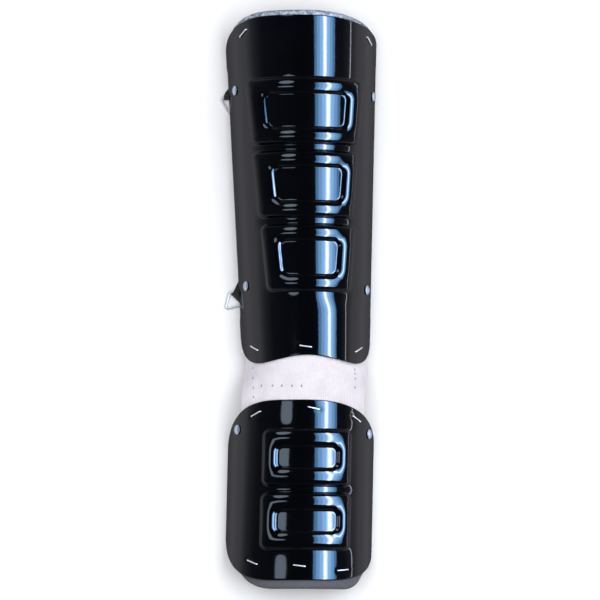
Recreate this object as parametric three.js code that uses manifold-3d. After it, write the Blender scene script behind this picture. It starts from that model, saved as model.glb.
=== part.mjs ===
// Shin and instep guard for one leg, lying on its open side: a moulded shin shell and a moulded
// instep shell, each with a foam liner, joined at the ankle by an elastic web.
// Millimetres. X runs across the leg, Y up the leg from the toes to the knee, Z up off the surface.
import * as THREE from 'three';
import { mergeVertices } from 'three/addons/utils/BufferGeometryUtils.js';
import Module from 'manifold-3d';

const wasm = await Module();
wasm.setup();

// Driving dimensions
const SHELL_WALL = 2.5;
const FOAM = 7;
const SEAT_GAP = 0.3;
const FACET_ROOM = 0.3;
const ANKLE_GAP = 37;
const WEB_THICKNESS = 1.6;
const WEB_OVERLAP = 13;
const WEB_HALF_WIDTH = { instep: 60.5, shin: 60.2 };
const WEB_SWELL = 1.2;
const LINER_INSET = 4;
// Past the web's end the liner stays sunk a little, then slopes up to the shell.
const LINER_SUNK_ON = 6;
const LINER_SLOPE = 10;

// A corner is cut back at the long edge by its depth, less and less over its reach round the section.
function corner(depth, reach, power) {
  return { depth, reach, power };
}

// One entry for each shell. Half widths and depths are those of the outer face at the two ends.
// lean is the angle in degrees by which the shell's middle line turns away from the leg's.
const INSTEP = {
  name: 'instep',
  base: 0,
  length: 177,
  halfWidth: { low: 72.6, high: 72.6 },
  depth: { low: 51.5, high: 59.5 },
  ankleShift: 1.8,
  lean: 1.28,
  corner: {
    low: { left: corner(45, 80, 2.5), right: corner(30, 80, 2.5) },
    high: { left: corner(45, 80, 2.5), right: corner(42, 100, 2.5) },
  },
  arch: 0,
  edgeLift: 0,
  linerProud: 8.2,
  linerCorner: { left: corner(75, 80, 2.5), right: corner(77, 58, 2.5) },
  padStart: 28.9,
  padHeight: 57.9,
  groove: 4.4,
  padRise: 4.2,
  wallRun: 3.8,
  windowHeight: 26.4,
  windowMargin: 12.4,
  floorRise: 0.8,
  padRadius: 8,
  windowRadius: 8,
  padTaper: 0,
  featureShift: 5,
};
const SHIN = {
  name: 'shin',
  base: INSTEP.base + INSTEP.length + ANKLE_GAP,
  length: 345,
  halfWidth: { low: 63.5, high: 76.8 },
  depth: { low: 62, high: 70 },
  ankleShift: 5.8,
  lean: -0.85,
  corner: {
    low: { left: corner(30, 55, 2.5), right: corner(30, 55, 2.5) },
    high: { left: corner(26, 71, 2), right: corner(19, 100, 2) },
  },
  arch: 6.8,
  edgeLift: 7,
  linerProud: 5.6,
  linerCorner: { left: corner(26, 71, 2), right: corner(20, 100, 2) },
  padStart: 68.8,
  padHeight: 68.5,
  groove: 4.6,
  padRise: 4.4,
  wallRun: 3.8,
  windowHeight: 39.8,
  windowMargin: 14.6,
  floorRise: 0.8,
  padRadius: 8,
  windowRadius: 9,
  padTaper: 0.085,
  featureShift: 3,
};

// Pads from the toes upwards. wide and shift are shares of the shell's half width at the pad's
// middle, windowShift the further share by which the window sits off the pad's middle.
INSTEP.pads = [
  { wide: 0.616, shift: 0.063, windowShift: 0.008 },
  { wide: 0.606, shift: 0.062, windowShift: -0.002 },
];
SHIN.pads = [
  { wide: 0.66, shift: 0.034, windowShift: 0.012 },
  { wide: 0.708, shift: 0.004, windowShift: 0.037 },
  { wide: 0.759, shift: 0.012, windowShift: 0.014 },
];

// The shin's long edges rest on the surface up to the first of these shares of its rows and from
// the last, and are lifted fully between the other two.
const EDGE_REST = [0.052, 0.087, 0.916, 0.939];
const ROW_POWER = 1.25;
// Pads are flatter across than the arch: they stand up more by this bend beyond a middle strip.
const PAD_FLAT = { from: 9, bend: 0.0032 };
const FLANK_STEPS = 5;

const STAPLE = { crown: 12.7, wire: 1.3, thick: 0.9, clinch: 3.6, clearance: 0.25 };
// angle is round the section from the right edge, along the share of the shell's length,
// turn the crown's angle to the section, all in degrees but along.
const STAPLES = [
  { name: 'staple_shin_top_left', guard: SHIN, angle: 141, along: 0.957, turn: -35, web: false },
  { name: 'staple_shin_top_right', guard: SHIN, angle: 28, along: 0.942, turn: 36, web: false },
  { name: 'staple_shin_low_left', guard: SHIN, angle: 144.5, along: 0.046, turn: 24, web: true },
  { name: 'staple_shin_low_middle', guard: SHIN, angle: 92, along: 0.044, turn: 8, web: true },
  { name: 'staple_shin_low_right', guard: SHIN, angle: 37, along: 0.042, turn: -26, web: true },
  { name: 'staple_instep_top_left', guard: INSTEP, angle: 130, along: 0.925, turn: -24, web: true },
  { name: 'staple_instep_top_middle', guard: INSTEP, angle: 82, along: 0.952, turn: 12, web: true },
  { name: 'staple_instep_top_right', guard: INSTEP, angle: 43, along: 0.901, turn: 27, web: true },
  { name: 'staple_instep_low_left', guard: INSTEP, angle: 130, along: 0.102, turn: 22, web: false },
  { name: 'staple_instep_low_middle', guard: INSTEP, angle: 90.5, along: 0.08, turn: 7, web: false },
  { name: 'staple_instep_low_right', guard: INSTEP, angle: 54, along: 0.059, turn: -7, web: false },
];

const RIVET = { head: 9.6, dome: 2, shank: 3.6, tail: 8, tailThick: 1, clearance: 0.3, sides: 10 };
const RIVETS = [
  { name: 'rivet_shin_high_left', guard: SHIN, angle: 156, along: 0.797, tab: 'tab_high' },
  { name: 'rivet_shin_high_right', guard: SHIN, angle: 17, along: 0.785 },
  { name: 'rivet_shin_low_left', guard: SHIN, angle: 153, along: 0.227, tab: 'tab_low' },
  { name: 'rivet_shin_low_right', guard: SHIN, angle: 23.5, along: 0.218 },
  { name: 'rivet_instep_left', guard: INSTEP, angle: 152, along: 0.845 },
  { name: 'rivet_instep_right', guard: INSTEP, angle: 23.5, along: 0.824 },
];

const RING = { side: 20, wire: 2.1, cornerRadius: 2.1, clearance: 0.3 };
// bite keeps the fold's faces off the apron's, so that none only just touch.
const TAB = { thick: 1.2, aboveRivet: 7, floorGap: 0.3, bite: 0.06 };
// along and width say where the tab crosses the long edge. The ring's held side starts out beyond
// that edge, drop below the tab's middle, and turn is that side's angle in plan. bulge is how far
// the tab's fold stands out past the edge at its upper side.
const TABS = [
  { name: 'tab_high', ring: 'ring_high', along: 0.803, width: 13, bulge: 4.5, out: 8, drop: 5, turn: -1 },
  { name: 'tab_low', ring: 'ring_low', along: 0.2295, width: 26, bulge: 2, out: 8, drop: 1.8, turn: -45 },
];

const COLOURS = {
  shell: { color: 0x0b0b0f, roughness: 0.08, metalness: 0 },
  foam: { color: 0x4a4a50, roughness: 0.85, metalness: 0 },
  web: { color: 0xe4dfe2, roughness: 0.8, metalness: 0 },
  webbing: { color: 0x1c1b1a, roughness: 0.9, metalness: 0 },
  steel: { color: 0xc4c8d0, roughness: 0.25, metalness: 1 },
};

const degrees = THREE.MathUtils.degToRad;
const lerp = THREE.MathUtils.lerp;
const smooth = (t) => THREE.MathUtils.smoothstep(t, 0, 1);

// The plain arch of a shell

const halfWidthAt = (g, v) => lerp(g.halfWidth.low, g.halfWidth.high, v / g.length);
const depthAt = (g, v) => lerp(g.depth.low, g.depth.high, v / g.length);

// The middle line leans away from the leg's from the ankle end of the shell.
function middleAt(g, v) {
  const fromAnkle = g === SHIN ? v : v - g.length;
  return g.ankleShift + Math.tan(degrees(g.lean)) * fromAnkle;
}

// A point on the arch, moved out along the section's normal.
function archPoint(g, angle, v, out) {
  const a = halfWidthAt(g, v);
  const b = depthAt(g, v);
  const normal = archNormal(g, angle, v);
  return new THREE.Vector3(
    middleAt(g, v) + a * Math.cos(angle) + out * normal.x,
    g.base + v,
    b * Math.sin(angle) + out * normal.z,
  );
}

function archNormal(g, angle, v) {
  const a = halfWidthAt(g, v);
  const b = depthAt(g, v);
  return new THREE.Vector3(b * Math.cos(angle), 0, a * Math.sin(angle)).normalize();
}

// Distance round the section from the nearer long edge, taking the mean radius.
function fromEdge(g, angle) {
  const radius = (g.halfWidth.low + g.halfWidth.high + g.depth.low + g.depth.high) / 4;
  return radius * Math.min(angle, Math.PI - angle);
}

function cornerDrop(g, corners, angle) {
  const { depth, reach, power } = angle < Math.PI / 2 ? corners.right : corners.left;
  return depth * Math.max(0, 1 - fromEdge(g, angle) / reach) ** power;
}

// How far the arched lower end stands back, none outside the arch's foot.
function archDrop(g, angle) {
  const foot = degrees(40);
  const share = (Math.min(angle, Math.PI - angle) - foot) / (Math.PI / 2 - foot);
  return g.arch * smooth(share);
}

// Rows run evenly in the middle and close up towards an end that is cut back.
function rowPlace(g, angle, row, ends) {
  const middle = g.length / 2;
  const place = ends.low + (row / g.length) * (ends.high - ends.low);
  if (row > middle) {
    return place - cornerDrop(g, ends.cornerHigh, angle) * ((row - middle) / middle) ** ROW_POWER;
  }
  const nearEnd = Math.max(0, 1 - row / g.padStart);
  const cut = cornerDrop(g, ends.cornerLow, angle) * ((middle - row) / middle) ** ROW_POWER;
  return place + cut + archDrop(g, angle) * nearEnd;
}

const shellEnds = (g) => ({
  low: 0,
  high: g.length,
  cornerLow: g.corner.low,
  cornerHigh: g.corner.high,
});

// The liner stands proud of the shell at its free end and stops short of it at the ankle.
function linerEnds(g) {
  if (g === SHIN) {
    return {
      low: LINER_INSET,
      high: g.length + g.linerProud,
      cornerLow: g.corner.low,
      cornerHigh: g.linerCorner,
    };
  }
  return {
    low: -g.linerProud,
    high: g.length - LINER_INSET,
    cornerLow: g.linerCorner,
    cornerHigh: g.corner.high,
  };
}

// Height of the long edges off the surface.
function edgeHeight(g, row) {
  const share = row / g.length;
  const [low, lowFull, highFull, high] = EDGE_REST;
  return g.edgeLift * Math.min(
    smooth((share - low) / (lowFull - low)),
    smooth((high - share) / (high - highFull)),
  );
}

// Raised pads with sunk windows

const padMiddle = (g, i) => g.padStart + g.padHeight / 2 + i * (g.padHeight + g.groove);

// Half width of the row of pads at any height, straight between the pads' middles.
function padHalfWidth(g, v) {
  const i = THREE.MathUtils.clamp(
    Math.floor((v - g.padStart) / (g.padHeight + g.groove)), 0, g.pads.length - 1);
  const middle = padMiddle(g, i);
  return g.pads[i].wide * halfWidthAt(g, middle) + g.padTaper * (v - middle);
}

// Signed distance to a rounded rectangle about the origin, negative inside.
function roundedBox(x, y, halfX, halfY, radius) {
  const qx = Math.abs(x) - halfX + radius;
  const qy = Math.abs(y) - halfY + radius;
  return Math.hypot(Math.max(qx, 0), Math.max(qy, 0)) + Math.min(Math.max(qx, qy), 0) - radius;
}

// Height of the pads above the plain arch at a place in plan.
function relief(g, x, v) {
  let height = 0;
  g.pads.forEach((pad, i) => {
    const middle = padMiddle(g, i);
    const a = halfWidthAt(g, middle);
    const half = pad.wide * a + g.padTaper * (v - middle);
    const across = x - middleAt(g, v) - pad.shift * a;
    const outside = roundedBox(across, v - middle, half, g.padHeight / 2, g.padRadius);
    const inWindow = roundedBox(
      across - pad.windowShift * a,
      v - middle,
      half - g.windowMargin,
      g.windowHeight / 2,
      g.windowRadius,
    );
    const past = Math.max(Math.abs(across) - PAD_FLAT.from, 0);
    const rise = (g.padRise + (PAD_FLAT.bend * past ** 2) / 2) * smooth(-outside / g.wallRun);
    const sink = (g.padRise - g.floorRise) * smooth(-inWindow / g.wallRun);
    height = Math.max(height, rise - sink);
  });
  return height;
}

// Meshes

// A closed wall between two faces given on one grid of columns and rows.
function wall(columns, rows, outer, inner) {
  const positions = [];
  for (const face of [outer, inner]) {
    for (let j = 0; j < rows; j += 1) {
      for (let i = 0; i < columns; i += 1) {
        positions.push(...face(i, j).toArray());
      }
    }
  }
  const at = (side, i, j) => side * rows * columns + j * columns + i;
  const index = [];
  const quad = (a, b, c, d) => index.push(a, b, c, a, c, d);
  for (let j = 0; j < rows - 1; j += 1) {
    for (let i = 0; i < columns - 1; i += 1) {
      quad(at(0, i, j), at(0, i + 1, j), at(0, i + 1, j + 1), at(0, i, j + 1));
      quad(at(1, i, j), at(1, i, j + 1), at(1, i + 1, j + 1), at(1, i + 1, j));
    }
  }
  for (let i = 0; i < columns - 1; i += 1) {
    quad(at(0, i, 0), at(1, i, 0), at(1, i + 1, 0), at(0, i + 1, 0));
    quad(at(0, i + 1, rows - 1), at(1, i + 1, rows - 1), at(1, i, rows - 1), at(0, i, rows - 1));
  }
  for (let j = 0; j < rows - 1; j += 1) {
    quad(at(0, 0, j + 1), at(1, 0, j + 1), at(1, 0, j), at(0, 0, j));
    quad(at(0, columns - 1, j), at(1, columns - 1, j), at(1, columns - 1, j + 1),
      at(0, columns - 1, j + 1));
  }
  return indexed(positions, index);
}

// A wire bent into a closed flat loop, swept with a round section.
function closedWire(path, radius, sides) {
  const positions = [];
  const index = [];
  const count = path.length;
  path.forEach((point, i) => {
    const before = path[(i + count - 1) % count];
    const after = path[(i + 1) % count];
    const along = after.clone().sub(before).normalize();
    const across = new THREE.Vector3(along.y, -along.x, 0);
    for (let k = 0; k < sides; k += 1) {
      const turn = ((k + 0.5) / sides) * 2 * Math.PI;
      const spot = point.clone().addScaledVector(across, radius * Math.cos(turn));
      positions.push(spot.x, spot.y, spot.z + radius * Math.sin(turn));
      const next = ((i + 1) % count) * sides;
      const side = (k + 1) % sides;
      index.push(i * sides + k, i * sides + side, next + side);
      index.push(i * sides + k, next + side, next + k);
    }
  });
  return indexed(positions, index);
}

// Geometry whose triangles face outwards whichever way round they were listed.
function indexed(positions, index) {
  const corner = (k) => new THREE.Vector3().fromArray(positions, 3 * k);
  let volume = 0;
  for (let t = 0; t < index.length; t += 3) {
    volume += corner(index[t]).dot(corner(index[t + 1]).cross(corner(index[t + 2])));
  }
  if (volume < 0) {
    index.reverse();
  }
  const geometry = new THREE.BufferGeometry();
  geometry.setAttribute('position', new THREE.Float32BufferAttribute(positions, 3));
  geometry.setIndex(index);
  return geometry;
}

// Solids that are joined and cut

// Shared corners become one. A turned shape is welded before it is turned.
function weld(geometry) {
  const plain = geometry.clone();
  plain.deleteAttribute('normal');
  plain.deleteAttribute('uv');
  return mergeVertices(plain, 1e-4);
}

function toSolid(geometry) {
  const merged = weld(geometry);
  return new wasm.Manifold(new wasm.Mesh({
    numProp: 3,
    vertProperties: new Float32Array(merged.attributes.position.array),
    triVerts: new Uint32Array(merged.index.array),
  }));
}

function toGeometry(solid) {
  const mesh = solid.getMesh();
  const geometry = new THREE.BufferGeometry();
  geometry.setAttribute('position', new THREE.BufferAttribute(mesh.vertProperties, 3));
  geometry.setIndex(new THREE.BufferAttribute(mesh.triVerts, 1));
  return geometry;
}

const cutAll = (solid, cutters) => cutters.reduce((left, cutter) => left.subtract(cutter), solid);

// Frame on a shell's outer face: X along the crown, Y across it, Z outwards.
function seatFrame(fitting) {
  const g = fitting.guard;
  const v = fitting.along * g.length;
  const angle = degrees(fitting.angle);
  const out = archNormal(g, angle, v);
  const up = new THREE.Vector3(0, 1, 0);
  const right = new THREE.Vector3().crossVectors(up, out);
  const turn = degrees(-(fitting.turn ?? 0));
  const crown = right.clone().multiplyScalar(Math.cos(turn)).addScaledVector(up, Math.sin(turn));
  const side = new THREE.Vector3().crossVectors(out, crown);
  const frame = new THREE.Matrix4().makeBasis(crown, side, out);
  return frame.setPosition(archPoint(g, angle, v, 0));
}

// Depth from the outer face of a shell to the inner face of its liner.
const stackDepth = SHELL_WALL + SEAT_GAP + FOAM;

// Depth at which a staple's bent legs or a rivet's tail sit, clear of the liner's curve.
function tailDepth(g, width) {
  const rise = width ** 2 / (8 * Math.min(g.depth.low, g.depth.high));
  return stackDepth + SEAT_GAP + FACET_ROOM + rise;
}

// Columns round a shell: down each flank, then the foot and lip of the pads' walls, the lip and
// foot of the windows' walls, and across the windows. A plain wall takes only some of them.
function columnAngles(g, row, raised) {
  const a = halfWidthAt(g, row);
  const foot = padHalfWidth(g, row);
  const windowLip = foot - g.windowMargin;
  const windowFoot = windowLip - g.wallRun;
  const inner = raised
    ? [foot, foot - g.wallRun, windowLip, windowFoot, (windowFoot * 2) / 3, windowFoot / 3]
    : [foot, windowLip, windowFoot / 3];
  const side = (sign) => {
    const angleAt = (x) => Math.acos((g.featureShift + sign * x) / a);
    const edge = sign > 0 ? 0 : Math.PI;
    const flank = Array.from({ length: FLANK_STEPS }, (_, k) =>
      lerp(edge, angleAt(foot), k / FLANK_STEPS));
    return [...flank, ...inner.map(angleAt)];
  };
  const middle = raised ? [Math.acos(g.featureShift / a)] : [];
  return [...side(1), ...middle, ...side(-1).reverse()];
}

// Columns close up a little where the long edges are lifted.
function liftedAngle(g, angle, row, v) {
  const least = Math.asin(edgeHeight(g, row) / depthAt(g, v));
  return least + angle * (1 - (2 * least) / Math.PI);
}

const restRows = (g) => (g.edgeLift > 0 ? EDGE_REST.map((share) => share * g.length) : []);

function featureRows(g) {
  const padsEnd = padMiddle(g, g.pads.length - 1) + g.padHeight / 2;
  const rows = [0, g.padStart / 2, (padsEnd + g.length) / 2, g.length, ...restRows(g)];
  g.pads.forEach((_, i) => {
    const middle = padMiddle(g, i);
    const halves = [g.padHeight / 2, g.windowHeight / 2];
    for (const half of halves.flatMap((size) => [size, size - g.wallRun])) {
      rows.push(middle - half, middle + half);
    }
  });
  return rows.sort((one, other) => one - other);
}

// A point of one face of a shell or liner, out being its distance from the plain arch.
function facePoint(g, angle, row, ends, out, raised) {
  const v = rowPlace(g, angle, row, ends);
  const turned = liftedAngle(g, angle, row, v);
  const x = middleAt(g, v) + halfWidthAt(g, v) * Math.cos(turned);
  return archPoint(g, turned, v, out + (raised ? relief(g, x, v) : 0));
}

function shellGeometry(g) {
  const rows = featureRows(g);
  const columns = rows.map((row) => columnAngles(g, row, true));
  const ends = shellEnds(g);
  const face = (out) => (i, j) => facePoint(g, columns[j][i], rows[j], ends, out, true);
  return wall(columns[0].length, rows.length, face(0), face(-SHELL_WALL));
}

// The liner sinks in under the ankle web, which passes between it and the shell.
function linerGeometry(g) {
  const ends = linerEnds(g);
  const sunkTo = WEB_OVERLAP + LINER_SUNK_ON;
  const levelFrom = sunkTo + LINER_SLOPE;
  const fromAnkle = (row) => (g === SHIN ? row : g.length - row);
  const spread = [0, 0.25, 0.5, 0.75, 1].map((share) => share * g.length);
  const rows = [...spread, ...[sunkTo, levelFrom].map(fromAnkle), ...restRows(g)];
  rows.sort((one, other) => one - other);
  const columns = rows.map((row) => columnAngles(g, row, false));
  const sink = (row) => {
    const share = (fromAnkle(row) - sunkTo) / (levelFrom - sunkTo);
    return (WEB_THICKNESS + SEAT_GAP) * (1 - smooth(share));
  };
  const outer = (i, j) => facePoint(
    g, columns[j][i], rows[j], ends, -SHELL_WALL - SEAT_GAP - FACET_ROOM - sink(rows[j]), false);
  const inner = (i, j) => facePoint(g, columns[j][i], rows[j], ends, -stackDepth, false);
  return wall(columns[0].length, rows.length, outer, inner);
}

// The web's arch is the instep shell's inner face, the shin shell's, and an even run between that
// swells out a little.
function webGeometry() {
  const under = SHELL_WALL + SEAT_GAP + FACET_ROOM;
  const columns = 17;
  const steps = [
    { blend: 0, overlap: 1 }, { blend: 0, overlap: 0.5 }, { blend: 0, overlap: 0 },
    { blend: 0.25, overlap: 0 }, { blend: 0.5, overlap: 0 }, { blend: 0.75, overlap: 0 },
    { blend: 1, overlap: 0 }, { blend: 1, overlap: 0.5 }, { blend: 1, overlap: 1 },
  ];
  const edgeOf = (g, v, halfWidth) =>
    Math.acos(Math.min(halfWidth / (halfWidthAt(g, v) - under), 0.998));
  const instepEdge = edgeOf(INSTEP, INSTEP.length, WEB_HALF_WIDTH.instep);
  const shinEdge = edgeOf(SHIN, 0, WEB_HALF_WIDTH.shin);
  const instepEnd = (angle) =>
    INSTEP.base + rowPlace(INSTEP, angle, INSTEP.length, shellEnds(INSTEP));
  const shinEnd = (angle) => SHIN.base + rowPlace(SHIN, angle, 0, shellEnds(SHIN));
  const shareAt = (y) => smooth((y - INSTEP.base - INSTEP.length) / ANKLE_GAP);
  // The edge's angle at which the blended arch has the web's own half width, closed in on because
  // the ends' places depend on it too.
  const edgeAt = (blend) => {
    const own = lerp(WEB_HALF_WIDTH.instep, WEB_HALF_WIDTH.shin, blend);
    let edge = lerp(instepEdge, shinEdge, blend);
    for (let round = 0; blend > 0 && blend < 1 && round < 40; round += 1) {
      const y = lerp(instepEnd(edge), shinEnd(edge), blend);
      const high = Math.max(y - SHIN.base, 0);
      const arch = lerp(halfWidthAt(INSTEP, INSTEP.length), halfWidthAt(SHIN, high), shareAt(y));
      edge = lerp(edge, Math.acos(Math.min(own / (arch - under), Math.cos(shinEdge))), 0.5);
    }
    return edge;
  };
  const face = (out) => (i, j) => {
    const { blend, overlap } = steps[j];
    const edge = edgeAt(blend);
    const angle = lerp(edge, Math.PI - edge, i / (columns - 1));
    const swell = WEB_SWELL * Math.sin(Math.PI * blend);
    const y = lerp(
      instepEnd(angle) - overlap * WEB_OVERLAP, shinEnd(angle) + overlap * WEB_OVERLAP, blend);
    const low = Math.min(y - INSTEP.base, INSTEP.length);
    const high = Math.max(y - SHIN.base, 0);
    return archPoint(INSTEP, angle, low, out - under + swell)
      .lerp(archPoint(SHIN, angle, high, out - under + swell), shareAt(y))
      .setY(y);
  };
  return wall(columns, steps.length, face(0), face(-WEB_THICKNESS));
}

// Staples: a flat crown on the shell, two legs through every layer, bent in under the liner

function staplePlan(staple) {
  const top = SEAT_GAP + STAPLE.thick;
  return { top, low: tailDepth(staple.guard, STAPLE.crown), half: STAPLE.crown / 2 };
}

function stapleGeometry(staple) {
  const { top, low, half } = staplePlan(staple);
  const t = STAPLE.thick;
  const rightSide = [
    [half, top], [half, -low - t], [half - STAPLE.clinch, -low - t],
    [half - STAPLE.clinch, -low], [half - t, -low], [half - t, top - t],
  ];
  const leftSide = rightSide.map(([x, z]) => [-x, z]).reverse();
  const outline = [...rightSide, ...leftSide].map(([x, z]) => new THREE.Vector2(x, z));
  const geometry = new THREE.ExtrudeGeometry(new THREE.Shape(outline), {
    depth: STAPLE.wire,
    bevelEnabled: false,
  });
  geometry.translate(0, 0, -STAPLE.wire / 2);
  geometry.rotateX(Math.PI / 2);
  return geometry.applyMatrix4(seatFrame(staple));
}

function stapleHoles(staple) {
  const { low, half } = staplePlan(staple);
  const room = 2 * STAPLE.clearance;
  return [-1, 1].map((sign) => {
    const hole = new THREE.BoxGeometry(STAPLE.thick + room, STAPLE.wire + room, 2 * low);
    hole.translate(sign * (half - STAPLE.thick / 2), 0, -low / 2);
    return toSolid(weld(hole).applyMatrix4(seatFrame(staple)));
  });
}

// Rivets: a domed head, a shank through every layer and a flat tail

function rivetGeometry(rivet) {
  const head = RIVET.head / 2;
  const shank = RIVET.shank / 2;
  const tail = RIVET.tail / 2;
  const under = tailDepth(rivet.guard, RIVET.tail);
  const dome = [1, 0.85, 0.5].map((share) =>
    new THREE.Vector2(head * share, SEAT_GAP + RIVET.dome * (0.25 + 0.75 * (1 - share ** 2))));
  const profile = [
    new THREE.Vector2(0, -under - RIVET.tailThick),
    new THREE.Vector2(tail, -under - RIVET.tailThick),
    new THREE.Vector2(tail, -under),
    new THREE.Vector2(shank, -under),
    new THREE.Vector2(shank, SEAT_GAP),
    new THREE.Vector2(head, SEAT_GAP),
    ...dome,
    new THREE.Vector2(0, SEAT_GAP + RIVET.dome),
  ];
  const geometry = weld(new THREE.LatheGeometry(profile, RIVET.sides));
  geometry.rotateX(Math.PI / 2);
  return geometry.applyMatrix4(seatFrame(rivet));
}

function rivetHole(rivet) {
  const radius = RIVET.shank / 2 + RIVET.clearance;
  const hole = new THREE.CylinderGeometry(radius, radius, 4 * stackDepth, RIVET.sides);
  hole.rotateX(Math.PI / 2);
  return toSolid(weld(hole).applyMatrix4(seatFrame(rivet)));
}

// Ring tabs: webbing that runs down between shell and liner from its rivet, out under the long
// edge, and round one side of a triangular wire ring

// Distance from the ring's sharp corner to where its side runs straight.
const straightStart = RING.cornerRadius * Math.sqrt(3);

// Where the ring lies: its held side starts off the left edge and runs back under the shell.
function ringPlan(tab) {
  const v = tab.along * SHIN.length;
  const edge = archPoint(SHIN, Math.PI, v, 0);
  const height = TAB.floorGap + TAB.thick + RING.clearance + RING.wire / 2;
  const start = new THREE.Vector3(edge.x - tab.out, edge.y - tab.drop, height);
  const turn = degrees(tab.turn);
  const along = new THREE.Vector3(Math.cos(turn), Math.sin(turn), 0);
  const reach = (RING.side * Math.sqrt(3)) / 2;
  const tilt = Math.asin((height - RING.wire / 2 - TAB.floorGap) / reach);
  return { start, along, height, tilt, edge };
}

function ringFrame(tab) {
  const { start, along, tilt } = ringPlan(tab);
  const up = new THREE.Vector3(0, 0, 1);
  const away = new THREE.Vector3().crossVectors(along, up);
  const frame = new THREE.Matrix4().makeBasis(along, away.negate(), up).setPosition(start);
  return frame.multiply(new THREE.Matrix4().makeRotationX(tilt));
}

function ringGeometry(tab) {
  const corners = [
    new THREE.Vector3(0, 0, 0),
    new THREE.Vector3(RING.side, 0, 0),
    new THREE.Vector3(RING.side / 2, (-RING.side * Math.sqrt(3)) / 2, 0),
  ];
  const arcSteps = 4;
  const path = [];
  corners.forEach((corner, i) => {
    const before = corners[(i + 2) % 3].clone().sub(corner).normalize();
    const after = corners[(i + 1) % 3].clone().sub(corner).normalize();
    const inward = before.clone().add(after).normalize();
    const centre = corner.clone().addScaledVector(inward, 2 * RING.cornerRadius);
    for (let k = 0; k <= arcSteps; k += 1) {
      const turn = lerp(60, -60, k / arcSteps);
      const spoke = inward.clone().negate().applyAxisAngle(new THREE.Vector3(0, 0, 1), degrees(turn));
      path.push(centre.clone().addScaledVector(spoke, RING.cornerRadius));
    }
  });
  return closedWire(path, RING.wire / 2, 6).applyMatrix4(ringFrame(tab));
}

// The flap against the shell's inner face. spare widens it on every side into its pocket.
function flapGeometry(tab, spare) {
  const rivet = RIVETS.find((one) => one.tab === tab.name);
  const v = tab.along * SHIN.length;
  const radius = (halfWidthAt(SHIN, v) + depthAt(SHIN, v)) / 2;
  const lowest = Math.asin((TAB.floorGap + TAB.thick / 2) / depthAt(SHIN, v));
  const highest = Math.PI - degrees(rivet.angle) + (TAB.aboveRivet + spare) / radius;
  const steps = 6;
  const face = (out) => (i, j) => {
    const angle = Math.PI - lerp(lowest, highest, i / steps);
    const across = (j - 0.5) * (tab.width + 2 * spare);
    return archPoint(SHIN, angle, v + across, out);
  };
  const outer = -SHELL_WALL - SEAT_GAP - FACET_ROOM;
  return wall(steps + 1, 2, face(outer + spare), face(outer - TAB.thick - spare));
}

// The flat stretch on the surface, from the flap out to the held side of the ring.
function apronGeometry(tab) {
  const { start, along, edge } = ringPlan(tab);
  const inX = edge.x + SHELL_WALL + SEAT_GAP + FACET_ROOM + TAB.thick / 2;
  const top = edge.y + tab.width / 2;
  const past = new THREE.Vector3(along.y, -along.x, 0).multiplyScalar(4 * TAB.bite);
  const onBar = (distance) => start.clone().addScaledVector(along, distance).add(past);
  const outer = onBar(straightStart + 2 * SEAT_GAP);
  const heldEnd = RING.side - straightStart;
  const toFlap = (inX - start.x) / along.x;
  const inner = onBar(Math.min(heldEnd, toFlap));
  const outline = [
    new THREE.Vector2(inX, top),
    new THREE.Vector2(edge.x - tab.bulge, top),
    new THREE.Vector2(outer.x, outer.y),
    new THREE.Vector2(inner.x, inner.y),
  ];
  if (heldEnd < toFlap) {
    outline.push(new THREE.Vector2(inX, inner.y));
  }
  const geometry = new THREE.ExtrudeGeometry(new THREE.Shape(outline), {
    depth: TAB.thick,
    bevelEnabled: false,
  });
  return geometry.translate(0, 0, TAB.floorGap);
}

// The fold round the ring's held side, a short sleeve of webbing.
function sleeve(tab) {
  const { start, along } = ringPlan(tab);
  const inner = RING.wire / 2 + RING.clearance;
  const middle = start.clone().addScaledVector(along, RING.side / 2);
  const place = new THREE.Matrix4().makeBasis(
    new THREE.Vector3(0, 0, 1).cross(along).negate(), along, new THREE.Vector3(0, 0, 1));
  place.setPosition(middle);
  const length = RING.side - 2 * straightStart - SEAT_GAP;
  const tube = (radius, long) =>
    toSolid(weld(new THREE.CylinderGeometry(radius, radius, long, 12)).applyMatrix4(place));
  return { body: tube(inner + TAB.thick - TAB.bite, length), bore: tube(inner + TAB.bite, length + 2) };
}

// The part

const holes = new Map([[SHIN, []], [INSTEP, []]]);
const webHoles = [];
for (const staple of STAPLES) {
  const cutters = stapleHoles(staple);
  holes.get(staple.guard).push(...cutters);
  if (staple.web) {
    webHoles.push(...cutters);
  }
}
for (const rivet of RIVETS) {
  holes.get(rivet.guard).push(rivetHole(rivet));
}

const group = new THREE.Group();
function add(name, geometry, colour) {
  const mesh = new THREE.Mesh(geometry, new THREE.MeshStandardMaterial(colour));
  mesh.name = name;
  group.add(mesh);
}

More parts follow.
